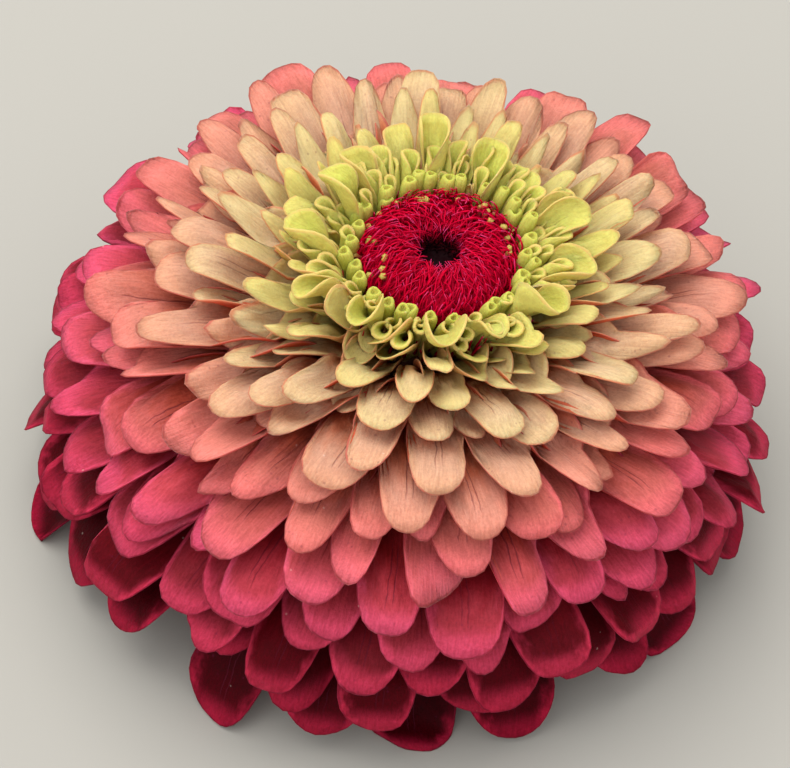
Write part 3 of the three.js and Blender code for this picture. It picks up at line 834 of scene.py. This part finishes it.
class ZINNIA_OT_stem(bpy.types.Operator):
    """Grows the ribbed stub of stem with its cut end and its short hairs"""

    bl_idname = "zinnia.stem"
    bl_label = "Stem stub"

    def execute(self, context):
        low, high = (corner[2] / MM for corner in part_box("stem_stub"))
        body = join([self.stub(low, high), self.hairs(low, high)])
        look = tissue_material("stem", colours().stem, colours().pith)
        add_mesh("stem_stub_fine", body, look, ["stem_stub"])
        return {"FINISHED"}

    def girth(self, share):
        """Radius of the stub at shares of its height."""
        return 2.3 + 0.7 * smooth(share, 0.4, 1.0)

    def stub(self, bottom, top):
        """The stub, whose radius carries cosines of 9 and of 27 ribs, with a dimple in its cut end."""
        rows, ring = 14, 54
        share = np.linspace(0, 1, rows)
        height = np.concatenate([[bottom + 0.25, bottom], bottom + (top - bottom) * share, [top]])[:, None]
        radius = np.concatenate([[1.1, 1.9], self.girth(share), [0.4]])[:, None]
        from_cut = np.concatenate([[0.0, 0.2], np.linspace(0.6, 3.0, rows), [3.0]])[:, None]
        angle = around(ring)[None, :]
        radius = radius * (1 + 0.03 * np.cos(9 * angle) + 0.008 * np.cos(27 * angle + 1))
        points = lean(spin(radius, 0 * radius, height, angle))
        attributes = attributes_over(
            radius, along=(height - bottom) / 3, across=np.cos(9 * angle), margin=from_cut, lot=0.3)
        return points, tube_faces(1, len(height), ring), attributes

    def hairs(self, bottom, top):
        """Tapering hairs that stand out of the stub in a golden-angle spiral, drooping by 0.3 out^2."""
        count, rows, ring = 150, 3, 4
        index = np.arange(count)
        share = (index + 0.5) / count
        azimuth = (index * GOLDEN_ANGLE)[:, None, None]
        height = (bottom + 0.25 + (top - bottom - 0.6) * share)[:, None, None]
        foot = (self.girth(share) - 0.05)[:, None, None]
        out = np.linspace(0, 0.55, rows)[None, :, None] * (0.7 + 0.6 * chance(index, 41)[:, None, None])
        angle = around(ring)[None, None, :]
        thin = np.linspace(0.035, 0.008, rows)[None, :, None]
        height = height - 0.3 * out ** 2 + thin * np.cos(angle)
        points = lean(spin(foot + out, -thin * np.sin(angle), height, azimuth))
        attributes = attributes_over(height, along=0.5, across=0.0, margin=1.0, lot=0.9)
        return points, tube_faces(count, rows, ring), attributes


class ZINNIA_OT_involucre(bpy.types.Operator):
    """Grows the green cup of overlapping, dark-rimmed bracts"""

    bl_idname = "zinnia.involucre"
    bl_label = "Involucre"

    def execute(self, context):
        bottom, top = 4.5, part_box("involucre")[1][2] / MM
        shoulder = bottom + 0.45 * (top - bottom)
        wall = np.array([[(3.2, bottom), (9.35, bottom + 0.4), (11.4, shoulder), (11.4, top)]])
        curve = bezier(wall, np.linspace(0, 1, 10)[None, :])[0][0]
        profile = [(0.4, bottom), *(curve - (0.35, 0)).tolist(), (0.4, top)]
        cup = turned_surface(profile, 48, along=0.2, across=0.0, margin=2.0, lot=0.5)
        bracts = [self.row(number, wall) for number in range(5)]
        look = tissue_material("bract", colours().bract, colours().margin)
        add_mesh("involucre_fine", join([cup, *bracts]), look, ["involucre"])
        return {"FINISHED"}

    def row(self, number, wall):
        """One ring of bracts: blunt tongues that follow the cup's wall, a Bezier curve.

        At v across, a bract ends at 1 - 0.3 (1 - (1 - |v|^2.4)^(1/2.4)) of its length. It stands off the
        wall by 0.75 s - 0.3 at share s of its length, and some tips stand off more, with s^6.
        """
        count, rows, columns = 12, 12, 9
        tip = 0.32 + 0.165 * number
        index = np.arange(count) + 40 * number
        azimuth = (np.arange(count) + 0.5 * (number % 2)) / count * 2 * np.pi
        azimuth = (azimuth + 0.06 * (chance(index, 1) - 0.5))[:, None, None]
        v, face = both_faces(np.linspace(-1, 1, columns))
        outline = 1 - 0.3 * (1 - (1 - np.abs(v) ** 2.4).clip(0) ** (1 / 2.4))
        share = np.linspace(0, 1, rows)[None, :, None] * outline
        at = np.clip(tip - 0.42 + 0.42 * share, 0, 0.995)
        on, along = bezier(np.repeat(wall, count, 0), np.broadcast_to(at, (count, rows, 2 * columns)))
        off = -0.3 + 0.75 * share + 0.3 * share ** 6 * chance(index, 2)[:, None, None]
        off = off + 0.16 * face * (1 - 0.6 * np.abs(v) ** 2)
        radius = on[..., 0] + off * along[..., 1]
        height = np.clip(on[..., 1] - off * along[..., 0], 3.9, 12.3)
        half = 0.5 * (0.35 + 0.65 * smooth(share, 0, 0.5)) * 1.12 * 2 * np.pi * radius / count
        points = lean(spin(radius, 0 * radius, height, azimuth - v * half / radius))
        margin = np.minimum(half * (1 - np.abs(v)), 5.0 * (outline - share))
        attributes = attributes_over(
            radius, along=share, across=v, margin=margin, lot=chance(index, 3)[:, None, None])
        return points, blade_faces(count, rows, columns), attributes


class ZINNIA_OT_petals(bpy.types.Operator):
    """Grows the ray petals, band by band, with the rolled young petals and buds in the innermost band"""

    bl_idname = "zinnia.petals"
    bl_label = "Ray petals"

    def execute(self, context):
        looks = {
            "petal_crimson": petal_material("petal_crimson", fibre=0.7, vein=0.7, softness=0.2, gloss=0.04),
            "petal_coral": petal_material("petal_coral", fibre=0.62, vein=0.8, softness=0.22, gloss=0.06),
            "petal_peach": petal_material("petal_peach", fibre=0.52, vein=0.8, softness=0.25, gloss=0.08),
            "petal_lime": petal_material("petal_lime", fibre=0.4, vein=0.5, softness=0.25, gloss=0.1),
        }
        rows, columns = 19, 17
        thickness = sizes().petal_thickness / MM
        points, attributes = rolled_blades(*open_petals(), rows, columns, thickness)
        points = lean(press(points, columns))
        age = attributes["age"][:, 0, 0]
        for name, slot, node, low, high in BANDS:
            keep = (age >= low) & ((age < high) | (high >= 1))
            parts = [self.part(points[keep], {key: values[keep] for key, values in attributes.items()})]
            if high >= 1:
                young, young_attributes = rolled_blades(*rolled_petals(), 15, 15, 1.3 * thickness)
                parts += [self.part(lean(young), young_attributes), closed_buds()]
            add_mesh(name, join(parts), looks[slot], [node])
        return {"FINISHED"}

    def part(self, points, attributes):
        """Blades as a part, from their points and attributes."""
        count, rows, ring = points.shape[:3]
        flat = {key: values.ravel() for key, values in attributes.items()}
        return points, blade_faces(count, rows, ring // 2), flat


class ZINNIA_OT_receptacle(bpy.types.Operator):
    """Grows the receptacle, the cone that the petals' roots stand in"""

    bl_idname = "zinnia.receptacle"
    bl_label = "Receptacle"

    def execute(self, context):
        flesh = (0.16, 0.05, 0.03)
        body = turned_surface(self.profile(), 48, along=0.2, across=0.0, margin=2.0, lot=0.5)
        add_mesh("receptacle", body, tissue_material("receptacle", flesh, flesh))
        return {"FINISHED"}

    def profile(self):
        """The outline from the foot to the rim as (radius, height), 0.4 mm inside the roots' surface."""
        radius = sizes().receptacle_radius / MM
        ages = np.linspace(0, 1, 9)
        side = np.stack([at_age("root_r", ages) * radius - 0.4, at_age("root_z", ages) + 0.2], -1)
        return [(0.5, 12.7), (radius - 0.8, 12.7), *side.tolist(), (8.3, 29.9), (0.5, 30.0)]


class ZINNIA_OT_disc(bpy.types.Operator):
    """Grows the red disc: its mound with the pit, its chaff of fine threads and its tiny florets"""

    bl_idname = "zinnia.disc"
    bl_label = "Disc"

    # The mound's outline from its brim over the crest into the pit, as (radius, height).
    MOUND = np.array([
        (7.3, 31.0), (6.8, 32.1), (5.8, 32.9), (4.7, 33.2),
        (3.7, 33.0), (2.8, 32.2), (1.9, 31.2), (0.9, 30.5)])

    def execute(self, context):
        share = np.linspace(0, 1, 22)
        profile = [(0.3, 30.2), (7.2, 30.3), *self.mound(share)[0].tolist(), (0.3, 30.4)]
        # Painted shade: the mound darkens towards the pit's floor.
        depth = smooth(np.array([0, 0, *share, 1.0]), 0.6, 0.95)[:, None]
        core = turned_surface(profile, 64, along=0.0, lot=0.1, depth=depth)
        chaff = join([core, self.threads(), self.bristles()])
        add_mesh("disc_fine", chaff, chaff_material(), ["disc"])
        add_mesh("disc_florets", self.florets(), floret_material())
        return {"FINISHED"}

    def mound(self, share):
        """Point and inward direction on the mound at shares from the brim, 0, to the pit's floor, 1."""
        stations = np.linspace(0, 1, len(self.MOUND))
        at = lambda s: np.stack([np.interp(s, stations, self.MOUND[:, k]) for k in (0, 1)], -1)
        ahead = at(np.clip(share + 0.06, 0, 1)) - at(np.clip(share - 0.06, 0, 1))
        return at(share), ahead / np.linalg.norm(ahead, axis=-1, keepdims=True)

    def threads(self):
        """Fine threads that rise from the mound and sweep in to the pit.

        Each runs along p + up(t) n + in(t) d, with n the mound's outward normal and d its inward
        direction: up(t) = h (1.9 t - 1.3 t^2) and in(t) = l t^1.5. It drifts sideways with t^2 and a
        small sine wave, and its radius tapers to 0.3 of what it is at the foot.
        """
        count, rows = sizes().chaff_count, 7
        index = np.arange(count)
        share = 0.02 + 0.86 * ((index + 0.5) / count) ** 1.15
        azimuth = index * GOLDEN_ANGLE + 0.09 * (chance(index, 51) - 0.5)
        on, inward = self.mound(share)
        out = np.stack([inward[:, 1], -inward[:, 0]], -1)
        room = np.maximum(on[:, 0] - 1.5 - chance(index, 58), 0.4)
        reach = np.minimum(1.3 + 1.5 * chance(index, 52), room)
        rise = (0.7 + 1.2 * chance(index, 53) ** 1.5) * (1 - 0.7 * smooth(share, 0.55, 0.9))
        t = np.linspace(0, 1, rows)[None, :]
        up = rise[:, None] * (1.9 * t - 1.3 * t ** 2) - 0.15
        ahead = reach[:, None] * t ** 1.5
        path = on[:, None] + up[..., None] * out[:, None] + ahead[..., None] * inward[:, None]
        drift = (2.4 * (chance(index, 54) - 0.5))[:, None] * t ** 2
        wave = 0.14 * np.sin(7 * t + 9 * chance(index, 55)[:, None]) * t
        step = np.gradient(path, axis=1)
        step = step / np.linalg.norm(step, axis=-1, keepdims=True)
        normal = np.stack([step[..., 1], -step[..., 0]], -1)
        thin = (0.12 + 0.08 * chance(index, 56))[:, None] * np.linspace(1, 0.3, rows)[None, :]
        # Painted shade: each thread darkens as it reaches into the pit.
        depth = smooth(share[:, None] + 0.25 * t, 0.6, 1.0)
        return self.strands(index, azimuth, path, normal, drift + wave, thin, depth)

    def bristles(self):
        """Short strands of chaff between the rolled petals. They bend away from 8 mm radius with t^2."""
        count, rows = 260, 5
        index = np.arange(count) + 3000
        azimuth = index * GOLDEN_ANGLE
        foot = 7.6 + 3.2 * chance(index, 71)
        t = np.linspace(0, 1, rows)[None, :]
        tall = (1.9 + 1.5 * chance(index, 72))[:, None]
        path = np.stack([foot[:, None] + 0.5 * t ** 2 * (foot[:, None] - 8) / 3, 29.4 + tall * t], -1)
        normal = np.broadcast_to((1.0, 0.0), path.shape)
        drift = (1.2 * (chance(index, 74) - 0.5))[:, None] * t ** 2
        thin = (0.14 + 0.1 * chance(index, 76))[:, None] * np.linspace(1, 0.3, rows)[None, :]
        # Painted shade: each strand darkens towards its foot, down among the rolled petals.
        depth = np.broadcast_to(0.3 + 0.35 * (1 - t), drift.shape)
        return self.strands(index, azimuth, path, normal, drift, thin, depth)

    def strands(self, index, azimuth, path, normal, drift, thin, depth):
        """Three-sided strands of radius thin round paths of (radius, height) that drift sideways."""
        count, rows = thin.shape
        angle = around(3)[None, None, :]
        thin = thin[..., None]
        above = thin * np.cos(angle)
        radius = path[..., 0, None] + above * normal[..., 0, None]
        height = path[..., 1, None] + above * normal[..., 1, None]
        sideways = thin * np.sin(angle) + drift[..., None]
        points = lean(spin(radius, sideways, height, azimuth[:, None, None]))
        attributes = attributes_over(
            radius, along=np.linspace(0, 1, rows)[None, :, None], lot=chance(index, 57)[:, None, None],
            depth=depth[..., None])
        return points, tube_faces(count, rows, 3), attributes

    def florets(self):
        """Disc florets as small buds along the back of the brim.

        Each is a club that swells from its foot, rounds in over its last fifth and has 5 soft lobes, as a
        cosine of five times the angle round it.
        """
        count, rows, ring = 34, 8, 10
        index = np.arange(count)
        share = 0.03 + 0.34 * chance(index, 61)
        azimuth = (np.pi / 2 + 2.3 * (2 * chance(index, 62) - 1))[:, None, None]
        on, inward = self.mound(share)
        out = np.stack([inward[:, 1], -inward[:, 0]], -1)
        t = np.broadcast_to(np.linspace(0, 1, rows)[None, :, None], (count, rows, ring))
        angle = around(ring)[None, None, :]
        body = (0.6 + 0.4 * smooth(t, 0.2, 0.8)) * np.sqrt((1 - smooth(t, 0.82, 1.0) ** 2).clip(0.01))
        girth = (0.2 + 0.12 * chance(index, 63))[:, None, None] * body * (1 + 0.16 * np.cos(5 * angle) * t)
        tall = (0.9 + 0.7 * chance(index, 64))[:, None, None]
        centre = on[:, None, None] + (tall * t - 0.2)[..., None] * out[:, None, None]
        above = girth * np.cos(angle)
        radius = centre[..., 0] + above * inward[:, None, None, 0]
        height = centre[..., 1] + above * inward[:, None, None, 1]
        points = lean(spin(radius, -girth * np.sin(angle), height, azimuth))
        return points, tube_faces(count, rows, ring), attributes_over(t, along=t)


class ZINNIA_PT_panel(bpy.types.Panel):
    """Lists the flower's sizes, colours and parts"""

    bl_idname = "ZINNIA_PT_panel"
    bl_label = "Zinnia"
    bl_space_type = "VIEW_3D"
    bl_region_type = "UI"
    bl_category = "Zinnia"

    def draw(self, context):
        layout = self.layout
        for values in (context.scene.zinnia_sizes, context.scene.zinnia_colours):
            box = layout.box()
            for key in type(values).__annotations__:
                box.prop(values, key)
        for operator in OPERATORS:
            layout.operator(operator.bl_idname)


OPERATORS = (
    ZINNIA_OT_stage, ZINNIA_OT_stem, ZINNIA_OT_involucre, ZINNIA_OT_petals, ZINNIA_OT_receptacle,
    ZINNIA_OT_disc)
CLASSES = (ZinniaSizes, ZinniaColours, *OPERATORS, ZINNIA_PT_panel)


def register():
    for kind in CLASSES:
        bpy.utils.register_class(kind)
    bpy.types.Scene.zinnia_sizes = PointerProperty(type=ZinniaSizes)
    bpy.types.Scene.zinnia_colours = PointerProperty(type=ZinniaColours)


def unregister():
    del bpy.types.Scene.zinnia_colours
    del bpy.types.Scene.zinnia_sizes
    for kind in reversed(CLASSES):
        bpy.utils.unregister_class(kind)


def main():
    register()
    bpy.ops.zinnia.stage()
    bpy.ops.zinnia.stem()
    bpy.ops.zinnia.involucre()
    bpy.ops.zinnia.petals()
    bpy.ops.zinnia.receptacle()
    bpy.ops.zinnia.disc()
    bpy.context.view_layer.update()


if __name__ == "__main__":
    main()
